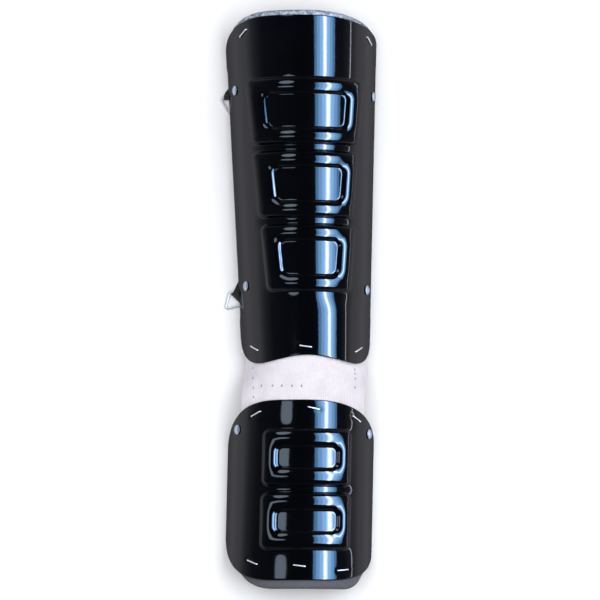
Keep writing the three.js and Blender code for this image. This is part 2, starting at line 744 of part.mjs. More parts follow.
for (const g of [SHIN, INSTEP]) {
  add(`${g.name}_shell`, toGeometry(cutAll(toSolid(shellGeometry(g)), holes.get(g))), COLOURS.shell);
}
const pockets = TABS.map((tab) => toSolid(flapGeometry(tab, SEAT_GAP)));
const shinLiner = cutAll(toSolid(linerGeometry(SHIN)), [...holes.get(SHIN), ...pockets]);
add('shin_liner', toGeometry(shinLiner), COLOURS.foam);
const instepLiner = cutAll(toSolid(linerGeometry(INSTEP)), holes.get(INSTEP));
add('instep_liner', toGeometry(instepLiner), COLOURS.foam);
add('ankle_web', toGeometry(cutAll(toSolid(webGeometry()), webHoles)), COLOURS.web);
for (const staple of STAPLES) {
  add(staple.name, stapleGeometry(staple), COLOURS.steel);
}
for (const rivet of RIVETS) {
  add(rivet.name, toGeometry(toSolid(rivetGeometry(rivet))), COLOURS.steel);
}
for (const tab of TABS) {
  const rivet = RIVETS.find((one) => one.tab === tab.name);
  const { body, bore } = sleeve(tab);
  const flap = toSolid(flapGeometry(tab, 0)).subtract(rivetHole(rivet));
  const webbing = flap.add(toSolid(apronGeometry(tab))).add(body).subtract(bore);
  add(tab.name, toGeometry(webbing), COLOURS.webbing);
  add(tab.ring, ringGeometry(tab), COLOURS.steel);
}

// The origin is under the middle of the part, on the surface that it lies on.
const box = new THREE.Box3().setFromObject(group, true);
const centre = box.getCenter(new THREE.Vector3());
group.position.set(-centre.x, -centre.y, -box.min.z);

export default group;
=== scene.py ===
"""Shin and instep guard for one leg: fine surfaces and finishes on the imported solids."""

import math

import bpy
import numpy as np
from mathutils import Matrix, Vector


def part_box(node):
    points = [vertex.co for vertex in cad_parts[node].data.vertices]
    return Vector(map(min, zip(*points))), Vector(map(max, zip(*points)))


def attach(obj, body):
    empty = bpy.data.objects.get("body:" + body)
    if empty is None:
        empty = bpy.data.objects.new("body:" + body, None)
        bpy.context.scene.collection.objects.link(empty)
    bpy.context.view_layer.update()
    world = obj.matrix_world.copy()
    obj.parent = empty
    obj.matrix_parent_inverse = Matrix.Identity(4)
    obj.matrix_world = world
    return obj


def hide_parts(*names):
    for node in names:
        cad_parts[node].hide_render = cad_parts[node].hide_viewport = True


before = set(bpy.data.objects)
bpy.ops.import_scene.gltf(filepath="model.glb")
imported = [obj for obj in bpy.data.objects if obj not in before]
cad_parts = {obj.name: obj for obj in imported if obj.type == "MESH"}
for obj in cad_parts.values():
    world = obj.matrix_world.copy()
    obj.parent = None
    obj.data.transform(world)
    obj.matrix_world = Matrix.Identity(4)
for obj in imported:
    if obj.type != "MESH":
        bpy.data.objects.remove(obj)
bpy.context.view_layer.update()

# Sizes in millimetres, as the solids have them. X runs across the leg, Y up it, Z off the surface.
WALL = 2.5
FOAM = 7.0
SEAT_GAP = 0.3
FACET_ROOM = 0.3
ANKLE_GAP = 37.0
WEB = 1.6
WEB_OVERLAP = 13.0
WEB_HALF_WIDTH = (60.5, 60.2)
WEB_SWELL = 1.2
LINER_INSET = 4.0
LINER_SUNK_ON = 6.0
LINER_SLOPE = 10.0
STACK = WALL + SEAT_GAP + FOAM
# Shares of the shin's rows: its long edges rest up to the first and from the last, and are lifted
# fully between the other two.
EDGE_REST = (0.052, 0.087, 0.916, 0.939)
ROW_POWER = 1.25
ARCH_FOOT = math.radians(40)


class Guard:
    """One shell's named sizes."""

    def __init__(self, **sizes):
        self.__dict__.update(sizes)
        self.radius = (sum(self.half) + sum(self.deep)) / 4


# A corner's pair holds depth, reach and power on the left and on the right side. A pad holds its
# half width, its shift and its window's further shift, as shares of the shell's half width.
INSTEP = Guard(
    base=0.0, length=177.0, half=(72.6, 72.6), deep=(51.5, 59.5), ankle_shift=1.8, lean=1.28,
    corner_low=((45, 80, 2.5), (30, 80, 2.5)), corner_high=((45, 80, 2.5), (42, 100, 2.5)),
    arch=0.0, edge_lift=0.0, proud=8.2, liner_corner=((75, 80, 2.5), (77, 58, 2.5)),
    pad_start=28.9, pad_height=57.9, groove=4.4, pad_rise=4.2, wall_run=3.8, window_height=26.4,
    window_margin=12.4, floor_rise=0.8, pad_radius=8.0, window_radius=8.0, pad_taper=0.0,
    pads=((0.616, 0.063, 0.008), (0.606, 0.062, -0.002)),
)
SHIN = Guard(
    base=214.0, length=345.0, half=(63.5, 76.8), deep=(62.0, 70.0), ankle_shift=5.8, lean=-0.85,
    corner_low=((30, 55, 2.5), (30, 55, 2.5)), corner_high=((26, 71, 2), (19, 100, 2)),
    arch=6.8, edge_lift=7.0, proud=5.6, liner_corner=((26, 71, 2), (20, 100, 2)),
    pad_start=68.8, pad_height=68.5, groove=4.6, pad_rise=4.4, wall_run=3.8, window_height=39.8,
    window_margin=14.6, floor_rise=0.8, pad_radius=8.0, window_radius=9.0, pad_taper=0.085,
    pads=((0.66, 0.034, 0.012), (0.708, 0.004, 0.037), (0.759, 0.012, 0.014)),
)
# Beyond a middle strip a pad bends less than the arch does.
PAD_FLAT_FROM, PAD_FLAT_BEND = 9.0, 0.0032

# Fasteners: name, guard, angle round the section, share of the length, turn of the crown.
STAPLES = (
    ("staple_shin_top_left", SHIN, 141, 0.957, -35),
    ("staple_shin_top_right", SHIN, 28, 0.942, 36),
    ("staple_shin_low_left", SHIN, 144.5, 0.046, 24),
    ("staple_shin_low_middle", SHIN, 92, 0.044, 8),
    ("staple_shin_low_right", SHIN, 37, 0.042, -26),
    ("staple_instep_top_left", INSTEP, 130, 0.925, -24),
    ("staple_instep_top_middle", INSTEP, 82, 0.952, 12),
    ("staple_instep_top_right", INSTEP, 43, 0.901, 27),
    ("staple_instep_low_left", INSTEP, 130, 0.102, 22),
    ("staple_instep_low_middle", INSTEP, 90.5, 0.08, 7),
    ("staple_instep_low_right", INSTEP, 54, 0.059, -7),
)
RIVETS = (
    ("rivet_shin_high_left", SHIN, 156, 0.797),
    ("rivet_shin_high_right", SHIN, 17, 0.785),
    ("rivet_shin_low_left", SHIN, 153, 0.227),
    ("rivet_shin_low_right", SHIN, 23.5, 0.218),
    ("rivet_instep_left", INSTEP, 152, 0.845),
    ("rivet_instep_right", INSTEP, 23.5, 0.824),
)
CROWN, STAPLE_WIDE, STAPLE_THICK, CLINCH = 12.7, 1.3, 0.9, 3.6
# A staple's bends, and how far its crown is pressed into the plastic.
STAPLE_BEND, STAPLE_PRESS = 0.75, 0.1
# Radii of a rivet's head, shank and tail, the height of its dome, the tail's thickness and the
# depth of a dished head.
RIVET_HEAD, RIVET_SHANK, RIVET_TAIL = 4.8, 1.8, 4.0
RIVET_DOME, RIVET_TAIL_THICK, RIVET_DISH = 1.5, 1.0, 0.75
RIVET_SIDES = 40
RING_SIDE, RING_WIRE, RING_CORNER, RING_GAP = 20.0, 2.1, 2.1, 0.3
# A tab is so thick, lies so high off the surface, reaches so far above its rivet and bends
# outwards from this height. Its weave has this pitch and height.
TAB_THICK, TAB_FLOOR, TAB_ABOVE, TAB_BEND = 1.2, 0.3, 7.0, 3.2
TAB_RIB, TAB_RIB_HEIGHT = 1.6, 0.06
# Tabs: name, ring, share of the length, width, reach off the edge, drop, turn, rivet's angle,
# outward bulge of the fold.
TABS = (
    ("tab_high", "ring_high", 0.803, 13.0, 8.0, 5.0, -1, 156, 3.8),
    ("tab_low", "ring_low", 0.2295, 26.0, 8.0, 1.8, -45, 153, 0.2),
)


# ---- Arches and pads

def lerp(a, b, t):
    """A straight run from a to b as t goes from 0 to 1."""
    return a + (b - a) * t


def smooth(t):
    """A step from 0 to 1 that starts and ends level, three squares less two cubes."""
    t = np.clip(t, 0, 1)
    return t * t * (3 - 2 * t)


def half_width(g, v):
    """A straight run between the half widths of the shell's two ends."""
    return lerp(g.half[0], g.half[1], v / g.length)


def depth(g, v):
    """A straight run between the depths of the shell's two ends."""
    return lerp(g.deep[0], g.deep[1], v / g.length)


def middle(g, v):
    """The middle line leans by a fixed angle, counted from the ankle end of the shell."""
    return g.ankle_shift + math.tan(math.radians(g.lean)) * (v if g is SHIN else v - g.length)


def arch_normal(g, angle, v):
    """Across an ellipse, the normal is depth times cosine, half width times sine."""
    n = np.stack([
        depth(g, v) * np.cos(angle), 0 * angle * v, half_width(g, v) * np.sin(angle)], -1)
    return n / np.linalg.norm(n, axis=-1, keepdims=True)


def arch(g, angle, v, out=0.0):
    """A half ellipse across the leg at each height v, moved out along its normal."""
    angle, v, out = np.broadcast_arrays(angle, v, out)
    spot = np.stack([
        middle(g, v) + half_width(g, v) * np.cos(angle), g.base + v, depth(g, v) * np.sin(angle),
    ], -1)
    return spot + out[..., None] * arch_normal(g, angle, v)


def cut_back(g, corners, angle):
    """A corner's depth times a power of what is left of its reach round the section."""
    d = g.radius * np.minimum(angle, np.pi - angle)
    left, right = (deep * np.clip(1 - d / reach, 0, None) ** power
                   for deep, reach, power in corners)
    return np.where(angle < np.pi / 2, right, left)


def row_place(g, angle, row, ends):
    """Rows run evenly in the middle and close up by a power towards a cut back end.

    The end next to the ankle also stands back in an arch over the crown of the leg.
    """
    low, high, corner_low, corner_high = ends
    half = g.length / 2
    place = low + row / g.length * (high - low)
    up = np.clip((row - half) / half, 0, None) ** ROW_POWER
    down = np.clip((half - row) / half, 0, None) ** ROW_POWER
    up_side = np.minimum(angle, np.pi - angle)
    crown = smooth((up_side - ARCH_FOOT) / (np.pi / 2 - ARCH_FOOT))
    near = np.clip(1 - row / g.pad_start, 0, None)
    return place - cut_back(g, corner_high, angle) * up + (
        cut_back(g, corner_low, angle) * down + g.arch * crown * near)


def shell_ends(g):
    """Where a shell's rows start and end, and the corners cut off both ends."""
    return 0.0, g.length, g.corner_low, g.corner_high


def liner_ends(g):
    """A liner stands proud of its shell at the free end and stops short of it at the ankle."""
    if g is SHIN:
        return LINER_INSET, g.length + g.proud, g.corner_low, g.liner_corner
    return -g.proud, g.length - LINER_INSET, g.liner_corner, g.corner_high


def lifted(g, angle, row, v):
    """Between its resting corners a long edge stands off the surface, and columns close up."""
    low, low_full, high_full, high = EDGE_REST
    share = row / g.length
    up = g.edge_lift * np.minimum(
        smooth((share - low) / (low_full - low)), smooth((high - share) / (high - high_full)))
    least = np.arcsin(up / depth(g, v))
    return least + angle * (1 - 2 * least / np.pi)


def pad_middle(g, i):
    """Pads of one height follow each other with one groove between them."""
    return g.pad_start + g.pad_height / 2 + i * (g.pad_height + g.groove)


def rounded_box(x, y, half_x, half_y, radius):
    """Signed distance to a rectangle with round corners, negative inside."""
    qx = np.abs(x) - half_x + radius
    qy = np.abs(y) - half_y + radius
    outside = np.hypot(np.clip(qx, 0, None), np.clip(qy, 0, None))
    return outside + np.clip(np.maximum(qx, qy), None, 0) - radius


def soft_min(a, b, k):
    """The lesser of two heights, rounded over where they are less than k apart."""
    h = np.clip(k - np.abs(a - b), 0, None) / k
    return np.minimum(a, b) - h * h * k / 4


def soft_max(a, b, k):
    """The greater of two heights, filled in where they are less than k apart."""
    return -soft_min(-a, -b, k)


# A pad's outer ramp and its window's wall rise by these slopes from a little inside their feet.
PAD_SLOPE, WINDOW_SLOPE = 1.75, 2.2
RAMP_FOOT = 0.9
LIP_ROUND, FOOT_ROUND, FLOOR_ROUND = 2.4, 1.6, 2.4
# The frame between pad lip and window lip is crowned in the middle.
LIP_IN, WINDOW_LIP_IN = 2.4, 1.8
CROWN_RISE = 1.9
FILLET, FILLET_REACH = 0.3, 3.0
# The shoulder on the shin's ankle end: height, place and breadth across, and where it fades out.
SHOULDER, SHOULDER_AT, SHOULDER_BREADTH = 1.36, 33.0, 16.0
SHOULDER_FADE = (50.0, 68.0)


def relief(g, x, v):
    """Each pad's frame is a low crown between two ramps, with its lips and feet rounded.

    A pad also stands up off the arch by a parabola across it, which makes it flatter, and a
    little fillet spreads round its foot. The shin's plain ankle end has a low shoulder.
    """
    height = np.zeros(np.broadcast_shapes(np.shape(x), np.shape(v)))
    for i, (wide, shift, window_shift) in enumerate(g.pads):
        centre = pad_middle(g, i)
        a = half_width(g, centre)
        half = wide * a + g.pad_taper * (v - centre)
        across = x - middle(g, v) - shift * a
        inside = -rounded_box(across, v - centre, half, g.pad_height / 2, g.pad_radius)
        off_window = rounded_box(
            across - window_shift * a, v - centre, half - g.window_margin,
            g.window_height / 2, g.window_radius)
        flat = PAD_FLAT_BEND * np.clip(np.abs(across) - PAD_FLAT_FROM, 0, None) ** 2 / 2
        lip = inside - LIP_IN
        across_frame = np.clip(lip + off_window + WINDOW_LIP_IN, 0.5, None)
        share = np.clip(lip / across_frame, 0, 1)
        crown = g.pad_rise + flat - CROWN_RISE * (1 - 4 * share * (1 - share))
        ramp = PAD_SLOPE * (inside - RAMP_FOOT) * (1 + flat / g.pad_rise)
        frame_height = soft_max(soft_min(ramp, crown, LIP_ROUND), 0.0, FOOT_ROUND)
        floor = g.floor_rise + flat
        well = floor + WINDOW_SLOPE * (off_window + g.wall_run - RAMP_FOOT)
        sunk = soft_min(frame_height, soft_max(well, floor, FLOOR_ROUND), LIP_ROUND)
        fillet = FILLET * np.exp(-np.clip(-inside, 0, None) / FILLET_REACH)
        height = np.maximum(height, np.where(inside > -FOOT_ROUND, sunk, 0.0) + fillet)
    if g is SHIN:
        fade_from, fade_to = SHOULDER_FADE
        fade = 1 - smooth((v - fade_from) / (fade_to - fade_from))
        off = (x - middle(g, v) - SHOULDER_AT) / SHOULDER_BREADTH
        height = height + SHOULDER * np.exp(-off ** 2) * fade
    return height


# ---- Meshes

# From the origin of these sizes, under the toe end of the instep shell, to that of the frame.
SHIFT = np.array([
    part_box("instep_shell")[0][0] / 0.001 - float(
        middle(INSTEP, INSTEP.corner_low[0][0]) - INSTEP.half[0]),
    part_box("shin_shell")[1][1] / 0.001 - (SHIN.base + SHIN.length),
    0.0,
])


def make_piece(name, points, faces, stand_for, slot, sharp, uv=None):
    """One piece in metres at the origin, riding on the part's only body.

    Edges that turn by more than the sharp angle, in degrees, aren't shaded smooth.
    """
    mesh = bpy.data.meshes.new(name)
    mesh.from_pydata(((points + SHIFT) * 0.001).tolist(), [], faces)
    mesh.shade_smooth()
    if uv is not None:
        layer = mesh.uv_layers.new(name="cloth")
        loops = np.empty(len(mesh.loops), dtype=np.int32)
        mesh.loops.foreach_get("vertex_index", loops)
        layer.data.foreach_set("uv", uv[loops].astype(np.float32).ravel())
    mesh.set_sharp_from_angle(angle=math.radians(sharp))
    piece = bpy.data.objects.new(name, mesh)
    bpy.context.scene.collection.objects.link(piece)
    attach(piece, "root")
    if stand_for:
        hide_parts(*stand_for)
    return piece


def grid_faces(rows, columns, start=0, flip=False, wrap_rows=False, wrap_columns=False):
    """Quads between neighbours of a grid that is stored row by row."""
    at = start + np.arange(rows * columns).reshape(rows, columns)
    if wrap_rows:
        at = np.vstack([at, at[:1]])
    if wrap_columns:
        at = np.hstack([at, at[:, :1]])
    quads = np.stack([at[:-1, :-1], at[:-1, 1:], at[1:, 1:], at[1:, :-1]], -1).reshape(-1, 4)
    return quads[:, ::-1] if flip else quads


def closed_wall(outer, inner):
    """Two faces on one grid, joined by a band of quads round their border."""
    rows, columns = outer.shape[:2]
    count = rows * columns
    at = np.arange(count).reshape(rows, columns)
    border = np.concatenate([at[0, :], at[1:, -1], at[-1, -2::-1], at[-2:0:-1, 0]])
    after = np.roll(border, -1)
    band = np.stack([border, border + count, after + count, after], -1)
    faces = np.concatenate([
        grid_faces(rows, columns), grid_faces(rows, columns, count, flip=True), band])
    points = np.concatenate([outer.reshape(-1, 3), inner.reshape(-1, 3)])
    return points, facing_out(points, faces).tolist()


def facing_out(points, faces):
    """Faces turned round as a whole where the volume that they close comes out negative."""
    a, b, c, d = (points[faces[:, k]] for k in range(4))
    volume = np.einsum("ij,ij->i", a, np.cross(b, c)) + np.einsum("ij,ij->i", a, np.cross(c, d))
    return faces[:, ::-1] if volume.sum() < 0 else faces


def capped(points, faces, sides, poles):
    """A tube closed by a fan of triangles to a pole at each end, as quads with a double corner."""
    count = len(points)
    low = np.arange(sides)
    after = np.roll(low, -1)
    last = count - sides
    first_pole, last_pole = np.full(sides, count), np.full(sides, count + 1)
    fans = [np.stack([low, first_pole, first_pole, after], -1),
            np.stack([last + low, last + after, last_pole, last_pole], -1)]
    return np.concatenate([points, poles]), np.concatenate([faces, *fans])


def corner_lists(faces):
    """Each face's corners, a double one taken once."""
    return [list(dict.fromkeys(face)) for face in faces.tolist()]


def swept(path, sections, closed):
    """A section carried along a path: frames are given as a point and two directions."""
    spots, first, second = path
    ring = sections[..., :1] * first[:, None, :] + sections[..., 1:] * second[:, None, :]
    points = (spots[:, None, :] + ring).reshape(-1, 3)
    sides = sections.shape[-2]
    faces = grid_faces(len(spots), sides, wrap_rows=closed, wrap_columns=True)
    if not closed:
        points, faces = capped(points, faces, sides, np.array([spots[0], spots[-1]]))
    return points, corner_lists(facing_out(points, faces))


def spread(low, high, count, lines, width, gain):
    """Values from low to high, closer together near each line by a bell of the given width."""
    s = np.linspace(low, high, 4001)
    density = np.ones_like(s)
    for line in lines:
        density = np.maximum(density, 1 + gain * np.exp(-((s - line) / width) ** 2))
    total = np.concatenate([[0], np.cumsum((density[1:] + density[:-1]) / 2)])
    return np.interp(np.linspace(0, total[-1], count), total, s)


# Distances of the first rows from a rim, and the radii that the rims are rounded to.
RIM_STEPS = np.array([0.0, 0.12, 0.35, 0.7, 1.15, 1.8])
SHELL_RIM, LINER_RIM, WEB_RIM = 1.1, 3.0, 0.7
LINER_RIM_UNIT = 1.8


def with_rims(values, unit=1.0):
    """Values with a few close ones put in by each end, for a rounded rim."""
    low, high = values[0], values[-1]
    steps = RIM_STEPS * unit
    inside = values[(values > low + 1.6 * steps[-1]) & (values < high - 1.6 * steps[-1])]
    return np.concatenate([low + steps, inside, high - steps[::-1]])


def rim_round(distance, radius):
    """How far a face draws in towards its wall's middle at a distance from the rim."""
    d = np.clip(distance, 0, radius)
    return radius - np.sqrt(np.clip(radius ** 2 - (radius - d) ** 2, 0, None))


# Shares of the half width by which the pads' and the windows' side walls stand.
PAD_LINES = (0.66, 0.47)


def shell_piece(g, name, node, rows_count, columns_count):
    """The arch raised by the pads' relief less the dents, and a second face a wall inside it."""
    lines = []
    for i in range(len(g.pads)):
        for half in (g.pad_height / 2, g.window_height / 2):
            lines += [pad_middle(g, i) - half, pad_middle(g, i) + half]
    rows = with_rims(spread(0, g.length, rows_count, lines, 5.0, 3.0))
    lines = [math.acos(side * share) for side in (1, -1) for share in PAD_LINES]
    angles = with_rims(spread(0, np.pi, columns_count, lines, 0.16, 2.0), 1 / g.radius)
    angle, row = np.meshgrid(angles, rows)
    v = row_place(g, angle, row, shell_ends(g))
    turned = lifted(g, angle, row, v)
    x = middle(g, v) + half_width(g, v) * np.cos(turned)
    height = relief(g, x, v) - dents(g, turned, v)
    edge = np.minimum(g.radius * np.minimum(angle, np.pi - angle),
                      np.minimum(row, g.length - row))
    drawn = rim_round(edge, SHELL_RIM)
    outer = arch(g, turned, v, height - drawn)
    inner = arch(g, turned, v, height - WALL + drawn)
    return make_piece(name, *closed_wall(outer, inner), [node], "shell", sharp=60)


def seat_frame(g, degrees, along, turn=0.0):
    """A fitting's seat on the plain arch: its place and the directions along, across and out."""
    angle = math.radians(degrees)
    v = along * g.length
    out = arch_normal(g, np.array(angle), np.array(v))
    up = np.array([0.0, 1.0, 0.0])
    right = np.cross(up, out)
    t = math.radians(-turn)
    crown = right * math.cos(t) + up * math.sin(t)
    return arch(g, angle, v), crown, np.cross(out, crown), out


# Depth and reach of the dents.
DENT_STAPLE, DENT_STAPLE_REACH = 0.35, 1.7
DENT_RIVET, DENT_RIVET_REACH = 0.3, 6.0


def dents(g, angle, v):
    """The plastic gives a little under each staple's crown and each rivet's head, by a bell."""
    spot = arch(g, angle, v)
    sink = np.zeros(angle.shape)
    for _, guard, degrees, along, turn in STAPLES:
        if guard is g:
            seat, crown, side, _ = seat_frame(g, degrees, along, turn)
            a = (spot - seat) @ crown
            b = (spot - seat) @ side
            d = np.hypot(np.clip(np.abs(a) - CROWN / 2, 0, None), b)
            sink = np.maximum(sink, DENT_STAPLE * np.exp(-(d / DENT_STAPLE_REACH) ** 2))
    for _, guard, degrees, along in RIVETS:
        if guard is g:
            seat, _, _, out = seat_frame(g, degrees, along)
            d = np.linalg.norm((spot - seat) - ((spot - seat) @ out)[..., None] * out, axis=-1)
            sink = np.maximum(sink, DENT_RIVET * np.exp(-(d / DENT_RIVET_REACH) ** 4))
    return sink


# Heights of the skin's crinkles and of soft waves. The skin goes so far from the free end, and is
# drawn in so much there.
CRINKLE, SOFT_WAVE = 0.22, 0.12
SKIN_REACH, SKIN_DRAW = 6.0, 0.25


def liner_piece(g, name, node, rows_count, columns_count):
    """Foam between two offsets of the arch, its edges rolled, sunk under the ankle web.

    Crossed sines, bent by a slower one, crinkle the skin at the free end and wave the inside.
    """
    angles = with_rims(np.linspace(0, np.pi, columns_count), LINER_RIM_UNIT / g.radius)
    rows = with_rims(np.linspace(0, g.length, rows_count), LINER_RIM_UNIT)
    angle, row = np.meshgrid(angles, rows)
    v = row_place(g, angle, row, liner_ends(g))
    turned = lifted(g, angle, row, v)
    from_ankle = row if g is SHIN else g.length - row
    share = smooth((from_ankle - WEB_OVERLAP - LINER_SUNK_ON) / LINER_SLOPE)
    sink = (WEB + SEAT_GAP + FACET_ROOM) * (1 - share)
    edge = np.minimum(g.radius * np.minimum(angle, np.pi - angle),
                      np.minimum(row, g.length - row))
    drawn = rim_round(edge, LINER_RIM)
    around = g.radius * turned
    crinkle = CRINKLE * np.sin(around / 1.7 + 1.3 * np.sin(around / 4.1)) * np.sin(
        row / 1.9 + around / 7)
    free_end = np.exp(-((g.length - from_ankle) / SKIN_REACH) ** 2)
    soft = SOFT_WAVE * np.sin(around / 9.0 + np.sin(row / 17.0)) * np.sin(row / 13.0)
    skin = (crinkle - SKIN_DRAW) * free_end
    outer = arch(g, turned, v, -WALL - SEAT_GAP - sink - drawn + skin)
    inner = arch(g, turned, v, -STACK + drawn + soft * smooth(edge / 8))
    piece = make_piece(name, *closed_wall(outer, inner), [node], "foam", sharp=70)
    return piece


def web_edges():
    """Angles at which the blended arch has the web's own half width, from instep to shin.

    The ends' places depend on the angle in turn, so it is closed in on by halves.
    """
    under = WALL + SEAT_GAP + FACET_ROOM
    low, high = (math.acos(own / (float(half_width(g, v)) - under)) for own, g, v in (
        (WEB_HALF_WIDTH[0], INSTEP, INSTEP.length), (WEB_HALF_WIDTH[1], SHIN, 0.0)))
    blend = np.linspace(0, 1, 25)
    own = lerp(WEB_HALF_WIDTH[0], WEB_HALF_WIDTH[1], blend)
    edges = lerp(low, high, blend)
    for _ in range(40):
        y = lerp(INSTEP.base + row_place(INSTEP, edges, INSTEP.length, shell_ends(INSTEP)),
                 SHIN.base + row_place(SHIN, edges, 0.0, shell_ends(SHIN)), blend)
        share = smooth((y - INSTEP.base - INSTEP.length) / ANKLE_GAP)
        arch_half = lerp(half_width(INSTEP, INSTEP.length),
                         half_width(SHIN, np.maximum(y - SHIN.base, 0)), share)
        edges = (edges + np.arccos(np.minimum(own / (arch_half - under), math.cos(high)))) / 2
        edges[0], edges[-1] = low, high
    return blend, edges


# Pitch and height of the web's ribs. A stitch draws the cloth in by a depth that fades out over
# these squares of the distance, across the leg and up it.
RIB, RIB_HEIGHT = 1.9, 0.1
PUCKER, PUCKER_ACROSS, PUCKER_UP = 0.55, 1.8, 3.2
# Needle holes of the seams in the web: place across the leg and up it, in the sizes' own frame.
STITCHES = [(-47.9, h) for h in (210.7, 200.3, 190.3, 180.9)]
STITCHES += [(-39.5, 191.7), (-29.0, 191.2), (-20.1, 190.9), (-9.9, 190.6), (-0.6, 190.5)]
STITCHES += [(53.3, h) for h in (208.7, 204.7, 199.7, 190.7)]


def web_piece(name, columns_count, rows_count):
    """A run from the instep shell's inner face to the shin shell's that swells by a half sine.

    Ribs are a sine round the leg, and each stitch draws the cloth in by a bell.
    """
    under = WALL + SEAT_GAP + FACET_ROOM
    t = np.linspace(-1, 2, rows_count)[:, None]
    blend = np.clip(t, 0, 1)
    overlap = np.clip(-t, 0, 1) + np.clip(t - 1, 0, 1)
    across = np.linspace(0, 1, columns_count)[None, :]
    edge = np.interp(blend, *web_edges())
    angle = lerp(edge, np.pi - edge, across)
    instep_end = INSTEP.base + row_place(INSTEP, angle, INSTEP.length, shell_ends(INSTEP))
    shin_end = SHIN.base + row_place(SHIN, angle, 0.0, shell_ends(SHIN))
    y = lerp(instep_end - overlap * WEB_OVERLAP, shin_end + overlap * WEB_OVERLAP, blend)
    share = smooth((y - INSTEP.base - INSTEP.length) / ANKLE_GAP)
    low = np.minimum(y - INSTEP.base, INSTEP.length)
    high = np.maximum(y - SHIN.base, 0)
    swell = WEB_SWELL * np.sin(np.pi * blend)

    def face(out):
        """The blended arches, moved out from where the cloth hangs, at the heights of the rows."""
        out = out - under + swell
        spot = lerp(arch(INSTEP, angle, low, out), arch(SHIN, angle, high, out), share[..., None])
        spot[..., 1] = y
        return spot

    outer = face(0.0)
    around = np.cumsum(np.linalg.norm(np.diff(outer, axis=1, prepend=outer[:, :1]), axis=-1), 1)
    around = around - around[:, -1:] / 2
    free = np.clip(np.minimum(t, 1 - t) * 6 + 0.2, 0, 1) * np.ones_like(around)
    pucker = np.zeros_like(y)
    holes = []
    for x, height in STITCHES:
        far = (outer[..., 0] - x) ** 2 + (y - height) ** 2
        holes.append((float(around.flat[np.argmin(far)]), height))
        pucker = np.maximum(pucker, PUCKER * np.exp(
            -((around - holes[-1][0]) ** 2 / PUCKER_ACROSS + (y - height) ** 2 / PUCKER_UP)))
    waves = SOFT_WAVE * np.sin(around / 9.7) * np.sin(y / 6.3)
    ribs = RIB_HEIGHT * np.sin(around * 2 * np.pi / RIB) + waves
    tuck = rim_round(np.minimum(across, 1 - across) * around[:, -1:] * 2, WEB_RIM)
    outer = face((ribs * free - pucker) - tuck)
    inner = face(-WEB + ribs * free - pucker + tuck)
    points, faces = closed_wall(outer, inner)
    uv = np.stack([around, y], -1).reshape(-1, 2) * 0.001
    piece = make_piece(name, points, faces, ["ankle_web"], "web",
                       uv=np.concatenate([uv, uv]), sharp=70)
    long = float(np.mean(y[-1] - y[0])) * 0.001
    return piece, holes


# ---- Fasteners and strap rings

def tail_depth(g, width):
    """Depth of the whole stack and what the liner's curve rises over a fitting's width."""
    return STACK + SEAT_GAP + FACET_ROOM + width ** 2 / (8 * min(g.deep))


def rounded_path(corners, radius, steps, closed=False):
    """Straight runs between corners that are turned on arcs of one radius."""
    corners = np.asarray(corners, float)
    count = len(corners)
    points = []
    for i, corner in enumerate(corners):
        if not closed and i in (0, count - 1):
            points.append(corner)
            continue
        before = corners[i - 1] - corner
        after = corners[(i + 1) % count] - corner
        before /= np.linalg.norm(before)
        after /= np.linalg.norm(after)
        half = math.acos(np.clip(before @ after, -1, 1)) / 2
        inward = (before + after) / np.linalg.norm(before + after)
        centre = corner + inward * radius / math.sin(half)
        start = corner + before * radius / math.tan(half) - centre
        end = corner + after * radius / math.tan(half) - centre
        turn = math.acos(np.clip(start @ end / radius ** 2, -1, 1))
        for k in range(steps + 1):
            s = k / steps
            points.append(centre + (math.sin((1 - s) * turn) * start
                                    + math.sin(s * turn) * end) / math.sin(turn))
    return np.array(points)


def path_frames(points, up, closed):
    """Directions square to a flat path: one in its plane, one along the plane's normal."""
    if closed:
        along = np.roll(points, -1, 0) - np.roll(points, 1, 0)
    else:
        along = np.gradient(points, axis=0)
    along /= np.linalg.norm(along, axis=1, keepdims=True)
    second = np.tile(up, (len(points), 1))
    return points, np.cross(along, second), second


def boxy(wave):
    """A circle's sine or cosine pushed out towards a square's by a 0.7th power."""
    return np.sign(wave) * np.abs(wave) ** 0.7


def staple_piece(name, g, degrees, along, turn):
    """Flat wire on a path: clinched end, leg, crown, leg, clinched end."""
    seat, crown, side, out = seat_frame(g, degrees, along, turn)
    low = tail_depth(g, CROWN) + STAPLE_THICK / 2
    top = SEAT_GAP + STAPLE_THICK / 2 - STAPLE_PRESS
    half = CROWN / 2 - STAPLE_THICK / 2
    flat = rounded_path(
        [(half - CLINCH, -low), (half, -low), (half, top), (-half, top), (-half, -low),
         (-half + CLINCH, -low)], STAPLE_BEND, 6)
    points = seat + flat[:, :1] * crown + flat[:, 1:] * out
    turns = np.linspace(0, 2 * np.pi, 16, endpoint=False)
    section = np.stack([boxy(np.cos(turns)) * STAPLE_THICK / 2,
                        boxy(np.sin(turns)) * STAPLE_WIDE / 2], -1)
    sections = np.tile(section, (len(points), 1, 1))
    mesh = swept(path_frames(points, side, False), sections, False)
    return make_piece(f"{name}_wire", *mesh, [name], "steel_wire", sharp=50)


